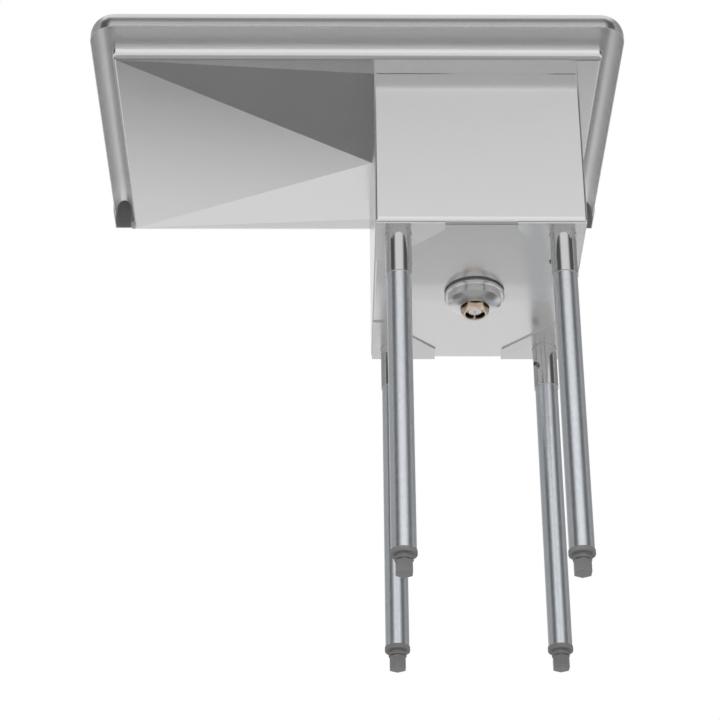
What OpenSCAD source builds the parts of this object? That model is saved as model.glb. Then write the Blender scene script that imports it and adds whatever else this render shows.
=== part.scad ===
// One-compartment stainless sink with a left drainboard, on four tube legs.
// Everything is drawn from the bowl's front left outer corner at floor level and then moved
// so that the origin lies under the middle of the whole sink, on the floor.
// +X is to the right, +Y is to the wall and +Z is up. Lengths are in millimetres.

/* [Sheet and heights] */
// Thickness of the stainless sheet
sheet = 1.5; // [1.2:0.1:2]
// Height of the rolled rim's top above the floor
work_h = 1020; // [950:1:1060]
// Height of the rolled rim's top above the underside of the deck
rim_h = 76; // [64:1:90]

/* [Bowl] */
// Inside width of the bowl, left to right
bowl_w = 355.6; // [330:0.1:460]
// Inside length of the bowl, front to back
bowl_l = 457.2; // [400:0.1:610]
// Depth of the bowl below the deck
bowl_d = 309.5; // [250:0.5:360]
// Outer radius of the bends between the bottom and the front and rear walls
bowl_bend = 10; // [9:0.5:20]
// Outer radius of the rolled edges of the two end walls
end_bend = 5; // [3:0.5:8]

/* [Deck] */
// Length of the drainboard, from the bowl to the left rim's bend line
drain_l = 448; // [380:1:620]
// How far the drainboard falls at the middle of the bowl's left wall
drain_fall = 29; // [15:1:40]
// Width of the ledge in front of the bowl
front_ledge_w = 37.5; // [25:0.5:60]
// Width of the ledge right of the bowl
right_ledge_w = 32.7; // [20:0.1:60]
// Width of the ledge behind the bowl
back_ledge_w = 30.6; // [20:0.1:60]

/* [Rolled rim] */
// Outer radius of the bend from the deck up to the riser
rim_bend = 14; // [8:0.5:20]
// Outer diameter of the roll
roll_d = 36.5; // [28:0.5:42]
// Straight lip below the middle of the roll
lip_h = 7; // [3:0.5:12]

/* [Backsplash] */
// Height of the backsplash's top above the underside of the deck
splash_h = 279; // [200:1:330]
// Depth of the backsplash, from its front sheet's rear face to the wall
splash_d = 64; // [45:1:80]
// Height of the turned-down edge at the wall
splash_edge_h = 25; // [15:1:40]
// Width of the flange that closes the rear of each end
end_flange_w = 50; // [30:1:70]
// Distance between the two faucet holes
faucet_pitch = 203.2; // [101.6:0.1:203.2]
// Diameter of each faucet hole
faucet_hole_d = 28.6; // [22:0.1:35]
// Height of the faucet holes above the underside of the deck
faucet_hole_h = 140; // [110:1:170]

/* [Legs] */
// Distance from the bowl's side to the middle of a leg
leg_in_x = 39.5; // [30:0.5:60]
// Distance from the bowl's front or rear to the middle of a leg
leg_in_y = 37; // [30:0.5:60]
// Outer diameter of the leg tube
leg_d = 41.3; // [35:0.1:44]
// Wall of the leg tube
leg_wall = 1.6; // [1.2:0.1:2.5]
// Height of the leg tube's lower end above the floor
leg_end_h = 40.5; // [36:0.5:60]
// Length of each leg socket below its gusset
socket_h = 83; // [60:1:110]
// Wall of the leg socket
socket_wall = 1.5; // [1.2:0.1:3]
// Depth that the leg tube reaches into its socket
leg_grip = 78; // [50:1:80]
// Thickness of the gusset plate
gusset_t = 2.5; // [2:0.5:5]
// Length of a gusset plate's two square sides
gusset_w = 118; // [100:1:140]
// How much longer the rear gussets are along the bowl's sides
gusset_add = 16; // [0:1:30]
// Straight end of a gusset plate beside its slanted edge
gusset_tip = 21; // [10:1:40]
// Diameter of a socket's set screw
screw_d = 8; // [5:1:10]
// Length of a socket's set screw
screw_l = 9; // [7:0.5:14]

/* [Feet] */
// Width across the flats of the hexagonal foot
foot_flats = 24; // [18:0.5:30]
// Height of the hexagonal foot
foot_hex_h = 22; // [15:0.5:26]
// Diameter of the stepped neck above the foot
neck_d = 31; // [28:0.5:36]
// Height of the stepped neck
neck_h = 4; // [2:0.5:8]
// Height of the insert's collar below the tube
collar_h = 12; // [8:0.5:20]
// Length of the insert inside the tube
insert_grip = 45; // [30:1:60]
// Diameter of the foot's stem over its thread
stem_d = 15.9; // [12:0.1:20]
// Height of the stem's thread over its core
thread_h = 0.8; // [0.4:0.1:1.2]
// Length of the foot's threaded stem
stem_l = 52; // [40:1:60]
// Depth of the hole behind the stem's thread
stem_bore_l = 57; // [42:1:70]

/* [Drain] */
// Diameter of the drain's flange inside the bowl
flange_d = 114; // [100:1:125]
// Outer diameter of the drain body's threaded wall
cup_d = 86; // [80:0.5:88]
// Depth of the drain body below the bowl's underside
cup_h = 21; // [16:0.5:30]
// Outer diameter of the locknut's flange
locknut_d = 106; // [98:1:112]
// Outer diameter of the locknut's skirt
locknut_skirt_d = 93; // [90:0.5:96]
// Fall of the drain body's shallow conical bottom
cone_h = 4; // [2:0.5:8]
// Outer diameter of the threaded outlet below the cone
outlet_d = 39; // [34:0.1:40]
// Wall of the threaded outlet
outlet_wall = 1.5; // [1.2:0.1:2]
// Length of the threaded outlet
outlet_h = 16; // [12:0.5:22]
// Height of the brass slip nut
slip_nut_h = 18.5; // [17.5:0.5:25]
// Width across the flats of the slip nut
slip_nut_flats = 43.5; // [43:0.5:50]
// Diameter of the hole in the slip nut's lip, which the waste pipe passes
lip_hole_d = 35.2; // [30:0.1:36]
// Diameter of the guide plate in the outlet
guide_d = 23; // [16:0.5:26]
// Diameter of the hole in the guide plate
guide_hole_d = 5; // [4:0.1:7]
// Thickness of the rubber gasket under the bowl
gasket_t = 2.5; // [1.5:0.1:4]
// Thickness of the fibre ring under the gasket
ring_t = 0.8; // [0.5:0.1:1.5]

/* [Strainer basket] */
// Outer diameter of the basket at its rim
basket_d = 76; // [70:0.5:78]
// Height of the basket's wall
basket_h = 20; // [14:0.5:22]
// Number of drain holes in a ring of the basket's floor
basket_holes = 16; // [8:1:20]
// Diameter of each drain hole in the basket
basket_hole_d = 3.5; // [2.5:0.5:4]
// Diameter of the rubber seal under the basket
seal_d = 42; // [38:0.5:46]
// Height of the basket's knob above its floor
knob_h = 24; // [18:0.5:30]
// Diameter of the knob
knob_d = 18; // [12:0.5:24]

/* [Hidden] */

$fn = 96;

// Overrun of a cut past the face that it goes through
over = 1;
// Gap between parts that slide in each other
play = 0.1;
// Gap that a screwed or lifted part keeps from its seat
seat_gap = 0.3;

// Outer size of the bowl
bowl_ow = bowl_w + 2 * sheet;
bowl_ol = bowl_l + 2 * sheet;
bowl_mid_x = bowl_ow / 2;
bowl_mid_y = bowl_ol / 2;
// Heights of the deck's underside and of the bowl's underside
deck_z = work_h - rim_h;
bowl_z = deck_z - bowl_d;
bowl_floor_z = bowl_z + sheet;
bowl_wall_h = bowl_d + sheet;

// The deck's bend lines
deck_left = -drain_l;
deck_right = bowl_ow + right_ledge_w;
deck_front = -front_ledge_w;
deck_back = bowl_ol + back_ledge_w;

// The rim's profile: s runs outwards from the bend line and h up from the deck's underside
roll_r = roll_d / 2;
roll_s = rim_bend - sheet + roll_r;
roll_h = rim_h - roll_r;
rim_s = roll_s + roll_r;
lip_z = deck_z + roll_h - lip_h;

// The backsplash's planes
panel_y = deck_back + rim_bend;
wall_y = panel_y + splash_d;
splash_left = deck_left - rim_s;
splash_right = deck_right + rim_s;
slope_z = deck_z + splash_h - splash_d - sheet;
splash_top_z = deck_z + splash_h;

// The shift from the drawing's corner to the origin
shift_x = (splash_left + splash_right) / 2;
shift_y = (deck_front - rim_s + wall_y) / 2;

// The legs' four axes as signs of X and Y from the bowl's middle
LEG_SIGNS = [[-1, -1], [1, -1], [-1, 1], [1, 1]];
gusset_z = bowl_z - gusset_t;
socket_end_z = gusset_z - socket_h;
socket_r = leg_d / 2 + play + socket_wall;
leg_top_z = socket_end_z + leg_grip;
screw_z = socket_end_z + socket_h / 2;

// The feet
foot_top_z = foot_hex_h;
neck_z = foot_top_z + seat_gap;
collar_z = leg_end_h - collar_h;
insert_top_z = leg_end_h + insert_grip;
insert_r = leg_d / 2 - leg_wall - play;
neck_gap_h = collar_z - neck_z;

// The drain
cup_wall = 2;
cup_r = cup_d / 2;
cup_z = bowl_z - cup_h;
cone_z = cup_z - cone_h;
outlet_r = outlet_d / 2;
outlet_bore_r = outlet_r - outlet_wall;
outlet_end_z = cone_z - outlet_h;
flange_t = 1.6;
bowl_hole_r = cup_r + 0.5 * sheet;
// The guide plate in the outlet, on four spokes
guide_t = 2.5;
guide_z = outlet_end_z + guide_t;
spoke_w = guide_t;
nut_top_z = cone_z - seat_gap;
nut_end_z = nut_top_z - slip_nut_h;

// The basket
basket_t = 1;
seal_t = 3;
seal_r = seal_d / 2;
// The seal's rim sits on the drain body's cone
cone_slope = cone_h / (cup_r - cup_wall - outlet_bore_r);
seal_z = cone_z + cup_wall + (seal_r - outlet_bore_r) * cone_slope + seat_gap;
basket_floor_z = seal_z + seal_t;
basket_rim_z = basket_floor_z + basket_h;
basket_floor_r = basket_d / 2 - basket_h / 4;
post_r = guide_hole_d / 2 - seat_gap;

module at_origin() {
    translate([-shift_x, -shift_y, 0]) children();
}

// Draws an outline in Y and Z, from x0 to x1
module along_x(x0, x1) {
    translate([x0, 0, 0]) rotate([90, 0, 90]) linear_extrude(x1 - x0) children();
}

// Draws an outline in X and Z, from y0 to y1
module along_y(y0, y1) {
    translate([0, y1, 0]) rotate([90, 0, 0]) linear_extrude(y1 - y0) children();
}

// A quarter of a ring between the angles a and a + 90
module quarter_ring(r, t, a) {
    rotate(a) intersection() {
        difference() {
            circle(r);
            circle(r - t);
        }
        square(r);
    }
}

// The bowl

module bowl_wrap_outline(grow) {
    r = bowl_bend - grow;
    translate([grow, bowl_bend]) square([bowl_ol - 2 * grow, bowl_wall_h - bowl_bend]);
    translate([bowl_bend, grow]) square([bowl_ol - 2 * bowl_bend, bowl_bend]);
    for (y = [bowl_bend, bowl_ol - bowl_bend]) translate([y, bowl_bend]) circle(r);
}

module bowl_wrap() {
    color([0.8, 0.8, 0.81]) at_origin() difference() {
        translate([0, 0, bowl_z]) along_x(end_bend, bowl_ow - end_bend) difference() {
            bowl_wrap_outline(0);
            union() {
                bowl_wrap_outline(sheet);
                translate([sheet, bowl_wall_h - over]) square([bowl_l, 2 * over]);
            }
        }
        translate([bowl_mid_x, bowl_mid_y, bowl_z - over]) cylinder(h = sheet + 2 * over, r = bowl_hole_r);
    }
}

// The section through an end wall's rolled edge: x is the depth from the wall's outer face and
// y runs from the edge to inner, set back by grow
module bowl_edge_section(inner, grow) {
    translate([end_bend, end_bend]) circle(end_bend - grow);
    translate([grow, end_bend]) square([end_bend + over - grow, inner - end_bend]);
}

// The end wall as a solid block, set back by grow: a field, a bar below it and two round corners,
// which reach into each other
module bowl_end_block(grow) {
    rise = grow > 0 ? over : 0;
    translate([0, 0, bowl_bend]) linear_extrude(bowl_wall_h - bowl_bend + rise) union() {
        bowl_edge_section(bowl_mid_y + over, grow);
        translate([0, bowl_ol]) mirror([0, 1]) bowl_edge_section(bowl_mid_y + over, grow);
    }
    along_y(bowl_bend, bowl_ol - bowl_bend) bowl_edge_section(2 * bowl_bend, grow);
    for (y = [bowl_bend, bowl_ol - bowl_bend]) translate([0, y, bowl_bend]) rotate([0, 90, 0])
        rotate_extrude() intersection() {
            translate([bowl_bend, 0]) rotate(90) bowl_edge_section(bowl_bend, grow);
            square([bowl_bend, end_bend + over]);
        }
}

module bowl_end_wall() {
    translate([0, 0, bowl_z]) intersection() {
        difference() {
            bowl_end_block(0);
            bowl_end_block(sheet);
        }
        along_x(0, end_bend) square([bowl_ol, bowl_wall_h]);
    }
}

// The left wall's top follows the drainboard's two slopes
module bowl_left_wall() {
    top_z = deck_z + sheet;
    color([0.8, 0.8, 0.81]) at_origin() intersection() {
        bowl_end_wall();
        along_x(-over, end_bend + over) polygon([[0, bowl_z], [bowl_ol, bowl_z], [bowl_ol, top_z],
            [bowl_mid_y, top_z - drain_fall], [0, top_z]]);
    }
}

module bowl_right_wall() {
    color([0.8, 0.8, 0.81]) at_origin() translate([bowl_ow, 0, 0]) mirror([1, 0, 0]) bowl_end_wall();
}

// The deck

// The drainboard's underside: two level triangles along the front and the rear, and three
// slopes that fall to the middle of the bowl's left wall
module drainboard() {
    under = [[deck_left, deck_front, deck_z], [0, deck_front, deck_z], [0, 0, deck_z],
        [0, bowl_mid_y, deck_z - drain_fall], [0, bowl_ol, deck_z], [0, deck_back, deck_z],
        [deck_left, deck_back, deck_z]];
    n = len(under);
    fan = [[0, 1, 2], [0, 2, 3], [0, 3, 6], [6, 3, 4], [6, 4, 5]];
    color([0.78, 0.78, 0.79]) at_origin() polyhedron(
        points = concat(under, [for (p = under) p + [0, 0, sheet]]),
        faces = concat(fan, [for (f = fan) [f[2] + n, f[1] + n, f[0] + n]],
            [for (i = [0:n - 1]) [i, i + n, (i + 1) % n + n, (i + 1) % n]]));
}

// The bowl's rounded opening, as the deck's ledges go round it
module bowl_opening() {
    translate([end_bend, 0]) square([bowl_ow - 2 * end_bend, bowl_ol]);
    translate([0, end_bend]) square([bowl_ow, bowl_ol - 2 * end_bend]);
    for (x = [end_bend, bowl_ow - end_bend], y = [end_bend, bowl_ol - end_bend])
        translate([x, y]) circle(end_bend);
}

module ledge(x0, x1, y0, y1) {
    color([0.76, 0.76, 0.77]) at_origin() translate([0, 0, deck_z]) linear_extrude(sheet) difference() {
        translate([x0, y0]) square([x1 - x0, y1 - y0]);
        bowl_opening();
    }
}

module front_ledge() { ledge(0, bowl_ow, deck_front, end_bend); }
module back_ledge() { ledge(0, bowl_ow, bowl_ol - end_bend, deck_back); }
module right_ledge() { ledge(bowl_ow, deck_right, deck_front, deck_back); }

// The rolled rim

// The bend and the riser, as s and h
module riser_profile() {
    translate([0, rim_bend]) quarter_ring(rim_bend, sheet, 270);
    translate([rim_bend - sheet, rim_bend]) square([sheet, roll_h - rim_bend]);
}

// The roll over the riser and its lip, as s and h
module roll_profile() {
    translate([roll_s, roll_h]) {
        quarter_ring(roll_r, sheet, 0);
        quarter_ring(roll_r, sheet, 90);
        translate([roll_r - sheet, -lip_h]) square([sheet, lip_h]);
    }
}

module rim_profile() {
    riser_profile();
    roll_profile();
}

module front_rim() {
    color([0.74, 0.74, 0.75]) at_origin() translate([0, deck_front, deck_z]) mirror([0, 1, 0])
        along_x(deck_left, deck_right) rim_profile();
}

// A side rim, drawn for the right side with s as X: its riser is mitred to the backsplash
module side_rim() {
    along_y(deck_front, panel_y) roll_profile();
    intersection() {
        along_y(deck_front, panel_y) riser_profile();
        linear_extrude(rim_h) polygon([[0, deck_front], [rim_bend, deck_front],
            [rim_bend, panel_y], [0, deck_back]]);
        along_x(0, rim_bend) rear_mask();
    }
}

// What lies in front of the backsplash's lower bend and panel, in Y and Z
module rear_mask() {
    translate([deck_front, 0]) square([deck_back - deck_front, rim_h]);
    translate([deck_front, rim_bend]) square([panel_y - deck_front, rim_h - rim_bend]);
    translate([deck_back, rim_bend]) circle(rim_bend);
}

module left_rim() {
    color([0.74, 0.74, 0.75]) at_origin() translate([deck_left, 0, deck_z]) mirror([1, 0, 0]) side_rim();
}

module right_rim() {
    color([0.74, 0.74, 0.75]) at_origin() translate([deck_right, 0, deck_z]) side_rim();
}

module left_rim_corner() {
    color([0.74, 0.74, 0.75]) at_origin() translate([deck_left, deck_front, deck_z]) rotate(180)
        rotate_extrude(angle = 90) rim_profile();
}

module right_rim_corner() {
    color([0.74, 0.74, 0.75]) at_origin() translate([deck_right, deck_front, deck_z]) rotate(270)
        rotate_extrude(angle = 90) rim_profile();
}

// The backsplash

// The panel, its slope to the wall and its turned-down edge, in Y and Z
module splash_profile(foot_z) {
    front_y = panel_y - sheet;
    top_z = slope_z + wall_y - front_y;
    inner_top_z = slope_z + wall_y - panel_y - sqrt(2) * sheet;
    polygon([[front_y, foot_z], [front_y, slope_z], [wall_y, top_z], [wall_y, top_z - splash_edge_h],
        [wall_y - sheet, top_z - splash_edge_h], [wall_y - sheet, inner_top_z],
        [panel_y, slope_z - sheet * tan(22.5)], [panel_y, foot_z]]);
}

// The panel's lower end between the side rims, mitred to them, in X and Z from the bend lines
module side_mask() {
    translate([deck_left, deck_z]) square([deck_right - deck_left, rim_h]);
    translate([deck_left - rim_bend, deck_z + rim_bend])
        square([deck_right - deck_left + 2 * rim_bend, rim_h - rim_bend]);
    for (x = [deck_left, deck_right]) translate([x, deck_z + rim_bend]) circle(rim_bend);
}

module splash_foot() {
    foot_top = roll_h + deck_z;
    intersection() {
        along_x(deck_left - rim_bend, deck_right + rim_bend) {
            translate([deck_back, deck_z + rim_bend]) quarter_ring(rim_bend, sheet, 270);
            translate([panel_y - sheet, deck_z + rim_bend]) square([sheet, foot_top - deck_z - rim_bend]);
        }
        translate([0, 0, deck_z]) linear_extrude(rim_h) polygon([[deck_left, deck_back],
            [deck_right, deck_back], [deck_right + rim_bend, panel_y], [deck_left - rim_bend, panel_y]]);
        along_y(deck_back, panel_y) side_mask();
    }
}

module backsplash() {
    foot_top = roll_h + deck_z;
    color([0.8, 0.8, 0.81]) at_origin() difference() {
        union() {
            splash_foot();
            along_x(splash_left, splash_right) splash_profile(foot_top);
        }
        for (x = [splash_left + roll_r, splash_right - roll_r])
            translate([x, panel_y + over, foot_top]) rotate([90, 0, 0]) cylinder(h = sheet + 2 * over, r = roll_r);
        for (side = [-1, 1])
            translate([bowl_mid_x + side * faucet_pitch / 2, panel_y + over, deck_z + faucet_hole_h])
                rotate([90, 0, 0]) cylinder(h = sheet + 2 * over, r = faucet_hole_d / 2);
    }
}

// An end of the backsplash, drawn for the left: a side plate and a flange at the wall
module splash_end() {
    front_y = panel_y - sheet;
    top_z = slope_z + wall_y - front_y;
    translate([-sheet, 0, 0]) along_x(0, sheet) polygon([[panel_y, lip_z], [wall_y, lip_z], [wall_y, top_z],
        [front_y, slope_z], [front_y, lip_z + lip_h], [panel_y, lip_z + lip_h]]);
    along_y(wall_y - sheet, wall_y) translate([0, lip_z]) square([end_flange_w, top_z - splash_edge_h - lip_z]);
}

module left_splash_end() {
    color([0.55, 0.55, 0.56]) at_origin() translate([splash_left, 0, 0]) splash_end();
}

module right_splash_end() {
    color([0.55, 0.55, 0.56]) at_origin() translate([splash_right, 0, 0]) mirror([1, 0, 0]) splash_end();
}

// The legs

// Moves a piece drawn on the Z axis, with the bowl's near corner towards -X and -Y, to leg i
module at_leg(i) {
    sx = LEG_SIGNS[i][0];
    sy = LEG_SIGNS[i][1];
    at_origin() translate([bowl_mid_x + sx * (bowl_mid_x - leg_in_x), bowl_mid_y + sy * (bowl_mid_y - leg_in_y), 0])
        scale_sign(sx, sy) children();
}

// Mirrors a piece for the right legs and for the rear legs
module scale_sign(sx, sy) {
    mirror([sx > 0 ? 1 : 0, 0, 0]) mirror([0, sy > 0 ? 1 : 0, 0]) children();
}

// A gusset plate: its slanted edge runs at 45 degrees
module gusset(i) {
    add = i > 1 ? gusset_add : 0;
    color([0.72, 0.72, 0.73]) at_leg(i) translate([-leg_in_x, -leg_in_y, gusset_z])
        linear_extrude(gusset_t) polygon([[sheet, sheet], [gusset_w, sheet], [gusset_w, gusset_tip + add],
            [gusset_tip, gusset_w + add], [sheet, gusset_w + add]]);
}

module socket(i) {
    color([0.66, 0.66, 0.67]) at_leg(i) difference() {
        translate([0, 0, socket_end_z]) cylinder(h = socket_h, r = socket_r);
        translate([0, 0, socket_end_z - over]) cylinder(h = socket_h + 2 * over, r = socket_r - socket_wall);
        screw_place() cylinder(h = socket_r + screw_l, r = screw_d / 2);
    }
}

// The set screw's line, from the leg's axis to the side that faces the middle of the bowl
module screw_place() {
    translate([0, 0, screw_z]) rotate([0, 90, 45]) children();
}

// A set screw that bears on the leg tube, with a hexagonal recess
module set_screw() {
    screw_place() translate([0, 0, leg_d / 2]) difference() {
        cylinder(h = screw_l, r = screw_d / 2);
        translate([0, 0, screw_l / 2]) cylinder(h = screw_l, r = screw_d / 4, $fn = 6);
    }
}

module socket_set_screws() {
    color([0.4, 0.4, 0.42]) for (i = [0:3]) at_leg(i) set_screw();
}

module leg(i) {
    color([0.7, 0.73, 0.76]) at_leg(i) translate([0, 0, leg_end_h]) difference() {
        cylinder(h = leg_top_z - leg_end_h, r = leg_d / 2);
        translate([0, 0, -over]) cylinder(h = leg_top_z - leg_end_h + 2 * over, r = leg_d / 2 - leg_wall);
    }
}

// The plastic insert: a plug in the tube, a collar with a rounded lower edge and a stepped neck
module insert(i) {
    round_r = collar_h / 3;
    color([0.44, 0.44, 0.45]) at_leg(i) difference() {
        union() {
            translate([0, 0, leg_end_h]) cylinder(h = insert_grip, r = insert_r);
            translate([0, 0, collar_z + round_r]) cylinder(h = collar_h - round_r, r = leg_d / 2);
            translate([0, 0, collar_z]) cylinder(h = round_r, r = leg_d / 2 - round_r);
            translate([0, 0, collar_z + round_r]) rotate_extrude()
                translate([leg_d / 2 - round_r, 0]) quarter_ring(round_r, round_r, 270);
            translate([0, 0, neck_z]) cylinder(h = neck_gap_h, r1 = neck_d / 2 - neck_gap_h / 4, r2 = neck_d / 2);
        }
        translate([0, 0, neck_z - over]) cylinder(h = stem_bore_l + over, r = stem_d / 2 + play);
    }
}

// The hexagonal foot and its stem
module foot(i) {
    tip_h = foot_hex_h / 8;
    hex_r = foot_flats / sqrt(3);
    color([0.44, 0.44, 0.45]) at_leg(i) {
        translate([0, 0, tip_h]) cylinder(h = foot_hex_h - tip_h, r = hex_r, $fn = 6);
        intersection() {
            cylinder(h = tip_h, r = hex_r, $fn = 6);
            cylinder(h = tip_h, r1 = foot_flats / 2 - tip_h, r2 = hex_r);
        }
        translate([0, 0, foot_hex_h]) cylinder(h = stem_l, r = stem_d / 2 - thread_h);
    }
}

// The drain

module at_drain() {
    at_origin() translate([bowl_mid_x, bowl_mid_y, 0]) children();
}

// The drain body: a flange on the bowl's floor, a threaded cup, a shallow cone and the outlet
// with its guide plate
module drain_body() {
    inner_r = cup_r - cup_wall;
    color([0.72, 0.72, 0.73]) at_drain() {
        rotate_extrude() polygon([[inner_r, bowl_floor_z + flange_t], [flange_d / 2 - flange_t, bowl_floor_z + flange_t],
            [flange_d / 2, bowl_floor_z], [cup_r, bowl_floor_z], [cup_r, cup_z], [outlet_r, cone_z],
            [outlet_r, outlet_end_z], [outlet_bore_r, outlet_end_z], [outlet_bore_r, cone_z + cup_wall],
            [inner_r, cup_z + cup_wall]]);
        translate([0, 0, guide_z]) difference() {
            union() {
                cylinder(h = guide_t, r = guide_d / 2);
                intersection() {
                    for (a = [0, 90]) rotate(a) translate([-outlet_r, -spoke_w / 2, 0])
                        cube([2 * outlet_r, spoke_w, guide_t]);
                    cylinder(h = guide_t, r = outlet_r - outlet_wall / 2);
                }
            }
            translate([0, 0, -over]) cylinder(h = guide_t + 2 * over, r = guide_hole_d / 2);
        }
    }
}

module drain_washer(top_z, t, r) {
    translate([0, 0, top_z - t]) difference() {
        cylinder(h = t, r = r);
        translate([0, 0, -over]) cylinder(h = t + 2 * over, r = cup_r + play);
    }
}

module drain_gasket() {
    color([0.12, 0.12, 0.12]) at_drain() drain_washer(bowl_z, gasket_t, locknut_d / 2 - gasket_t);
}

module drain_ring() {
    color([0.55, 0.45, 0.3]) at_drain() drain_washer(bowl_z - gasket_t, ring_t, locknut_d / 2 - gasket_t);
}

// The locknut: a broad flange with a bevelled edge over a narrower skirt
module drain_locknut() {
    top_z = bowl_z - gasket_t - ring_t;
    step_z = bowl_z - cup_h / 2;
    bevel = ring_t * 2;
    color([0.7, 0.7, 0.71]) at_drain() rotate_extrude() polygon([[cup_r + play, top_z],
        [locknut_d / 2 - bevel / 2, top_z], [locknut_d / 2, top_z - bevel / 2], [locknut_d / 2, step_z + bevel],
        [locknut_d / 2 - bevel, step_z], [locknut_skirt_d / 2, step_z], [locknut_skirt_d / 2, cup_z],
        [cup_r + play, cup_z]]);
}

// The brass slip nut: a hexagon whose lower corners are turned off, with a lip below the outlet
module slip_nut() {
    nut_r = slip_nut_flats / sqrt(3);
    turn_h = slip_nut_h / 3;
    color([0.72, 0.56, 0.42]) at_drain() translate([0, 0, nut_end_z]) difference() {
        intersection() {
            cylinder(h = slip_nut_h, r = nut_r, $fn = 6);
            union() {
                cylinder(h = turn_h, r1 = slip_nut_flats / 2 - turn_h / 8, r2 = nut_r);
                translate([0, 0, turn_h]) cylinder(h = slip_nut_h - turn_h, r = nut_r);
            }
        }
        translate([0, 0, outlet_end_z - nut_end_z]) cylinder(h = slip_nut_h, r = outlet_r + play);
        translate([0, 0, -over]) cylinder(h = slip_nut_h + 2 * over, r = lip_hole_d / 2);
    }
}

// The strainer basket

// A pressed cup with a turned-out rim, a perforated floor and side
module strainer_basket() {
    rim_r = basket_d / 2;
    floor_r = basket_floor_r;
    color([0.78, 0.78, 0.79]) at_drain() difference() {
        rotate_extrude() polygon([[post_r, basket_floor_z], [floor_r, basket_floor_z],
            [rim_r - basket_t, basket_rim_z - basket_t], [rim_r + basket_t, basket_rim_z - basket_t],
            [rim_r + basket_t, basket_rim_z], [rim_r - 2 * basket_t, basket_rim_z],
            [floor_r - basket_t, basket_floor_z + basket_t], [post_r, basket_floor_z + basket_t]]);
        for (i = [0:basket_holes - 1], ring = [0, 1]) {
            hole_r = seal_r + basket_hole_d * (0.75 + 1.25 * ring);
            rotate(360 * (i + ring / 2) / basket_holes) translate([hole_r, 0, basket_floor_z - over])
                cylinder(h = basket_t + 2 * over, r = basket_hole_d / 2, $fn = 24);
        }
    }
}

// The post under the knob, which ends in the guide plate's hole
module basket_post() {
    post_end_z = guide_z + guide_t / 2;
    color([0.6, 0.6, 0.61]) at_drain() translate([0, 0, post_end_z])
        cylinder(h = basket_floor_z + knob_h / 2 - post_end_z, r = post_r);
}

// The rubber seal under the basket's floor
module basket_seal() {
    color([0.1, 0.1, 0.1]) at_drain() translate([0, 0, seal_z]) difference() {
        cylinder(h = seal_t, r = seal_r);
        translate([0, 0, -over]) cylinder(h = seal_t + 2 * over, r = post_r);
    }
}

module basket_knob() {
    knob_r = knob_d / 2;
    ball_r = knob_r / 3;
    color([0.7, 0.7, 0.71]) at_drain() translate([0, 0, basket_floor_z + basket_t]) difference() {
        rotate_extrude() union() {
            polygon([[0, 0], [knob_r * 0.6, 0], [knob_r * 0.4, knob_h * 0.4], [knob_r * 0.7, knob_h * 0.7],
                [knob_r - ball_r, knob_h - 2 * ball_r], [knob_r - ball_r, knob_h], [0, knob_h]]);
            translate([knob_r - ball_r, knob_h - ball_r]) circle(ball_r);
        }
        translate([0, 0, -over]) cylinder(h = knob_h / 2 - basket_t + over, r = post_r);
    }
}

bowl_wrap();
bowl_left_wall();
bowl_right_wall();
drainboard();
front_ledge();
right_ledge();
back_ledge();
front_rim();
left_rim();
right_rim();
left_rim_corner();
right_rim_corner();
backsplash();
left_splash_end();
right_splash_end();
gusset(0);  // front_left_gusset
gusset(1);  // front_right_gusset
gusset(2);  // rear_left_gusset
gusset(3);  // rear_right_gusset
socket(0);  // front_left_socket
socket(1);  // front_right_socket
socket(2);  // rear_left_socket
socket(3);  // rear_right_socket
socket_set_screws();
leg(0);  // front_left_leg
leg(1);  // front_right_leg
leg(2);  // rear_left_leg
leg(3);  // rear_right_leg
insert(0);  // front_left_insert
insert(1);  // front_right_insert
insert(2);  // rear_left_insert
insert(3);  // rear_right_insert
foot(0);  // front_left_foot
foot(1);  // front_right_foot
foot(2);  // rear_left_foot
foot(3);  // rear_right_foot
drain_body();
drain_gasket();
drain_ring();
drain_locknut();
slip_nut();
strainer_basket();
basket_post();
basket_seal();
basket_knob();
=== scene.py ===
"""Finishes, welds, threads, studio and camera for a stainless sink with a left drainboard."""
import math

import bmesh
import bpy
from mathutils import Matrix, Vector


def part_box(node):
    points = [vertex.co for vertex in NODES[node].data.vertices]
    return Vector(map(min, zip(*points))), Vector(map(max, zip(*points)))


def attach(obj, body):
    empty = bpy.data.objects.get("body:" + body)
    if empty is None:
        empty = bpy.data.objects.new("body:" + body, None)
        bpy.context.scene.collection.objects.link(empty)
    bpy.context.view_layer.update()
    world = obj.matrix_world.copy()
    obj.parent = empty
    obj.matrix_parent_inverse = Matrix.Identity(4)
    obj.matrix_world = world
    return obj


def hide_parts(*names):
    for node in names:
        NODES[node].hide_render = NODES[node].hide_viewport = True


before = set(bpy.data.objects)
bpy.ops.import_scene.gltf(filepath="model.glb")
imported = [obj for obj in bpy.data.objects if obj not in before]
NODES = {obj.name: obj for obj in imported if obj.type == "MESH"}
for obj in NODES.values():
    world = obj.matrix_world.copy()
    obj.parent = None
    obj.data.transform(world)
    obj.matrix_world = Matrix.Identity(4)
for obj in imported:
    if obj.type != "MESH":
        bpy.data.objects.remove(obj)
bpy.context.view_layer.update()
MM = 0.001

LEG_PLACES = ("front_left", "front_right", "rear_left", "rear_right")


class Wire:
    """An output of a shader tree. Arithmetic on it adds Math nodes."""

    def __init__(self, bench, socket):
        self.bench = bench
        self.socket = socket

    def __getitem__(self, name):
        return Wire(self.bench, self.socket.node.outputs[name])

    def __add__(self, other):
        return self.bench.maths("ADD", self, other)

    __radd__ = __add__

    def __sub__(self, other):
        return self.bench.maths("SUBTRACT", self, other)

    def __rsub__(self, other):
        return self.bench.maths("SUBTRACT", other, self)

    def __mul__(self, other):
        return self.bench.maths("MULTIPLY", self, other)

    __rmul__ = __mul__

    def __truediv__(self, other):
        return self.bench.maths("DIVIDE", self, other)


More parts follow.
